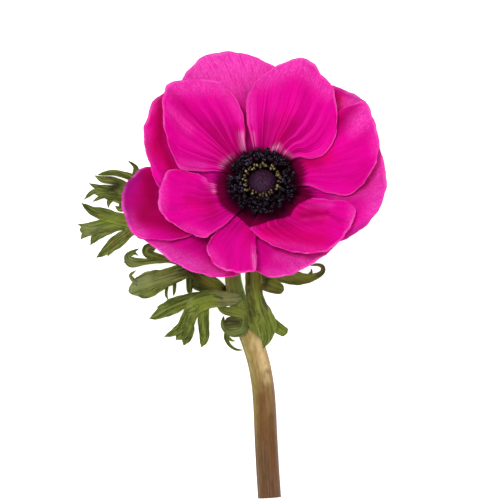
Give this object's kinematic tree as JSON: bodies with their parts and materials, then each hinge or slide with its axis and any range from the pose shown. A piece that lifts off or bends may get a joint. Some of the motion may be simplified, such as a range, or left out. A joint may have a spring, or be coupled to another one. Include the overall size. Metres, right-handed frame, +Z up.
{
  "type": "anemone flower",
  "caption": "Double-rowed magenta poppy anemone bloom with a black eye, on a bent cut stem with finely cut leaves, laid on its side.",
  "frame": {"origin": "centre of the flower's bounding box in plan, on the surface that it lies on", "axes": "+Y along the stem from its cut end to the bloom, +Z up from the surface towards the open face of the bloom, +X to the right seen from above"},
  "size_m": [0.1036, 0.1494, 0.0526],
  "materials": {
    "stem": "semi-matt, green below the bloom and brown towards the cut end",
    "petal_outer": "velvety satin petal",
    "petal_inner": "velvety satin petal",
    "leaf": "matt leaf",
    "anther_black": "matt pollen black",
    "anther_olive": "matt",
    "pistil": "matt felted"
  },
  "bodies": {
    "root": {"stem": "stem", "petal_outer_1": "petal_outer", "petal_outer_2": "petal_outer", "petal_outer_3": "petal_outer", "petal_outer_4": "petal_outer", "petal_outer_5": "petal_outer", "petal_outer_6": "petal_outer", "petal_outer_7": "petal_outer", "petal_inner_1": "petal_inner", "petal_inner_2": "petal_inner", "petal_inner_3": "petal_inner", "petal_inner_4": "petal_inner", "petal_inner_5": "petal_inner", "petal_inner_6": "petal_inner", "leaf_left": "leaf", "leaf_lower": "leaf", "leaf_right": "leaf", "stamens_outer": "anther_black", "stamens_inner": "anther_olive", "pistil": "pistil"}
  },
  "joints": []
}
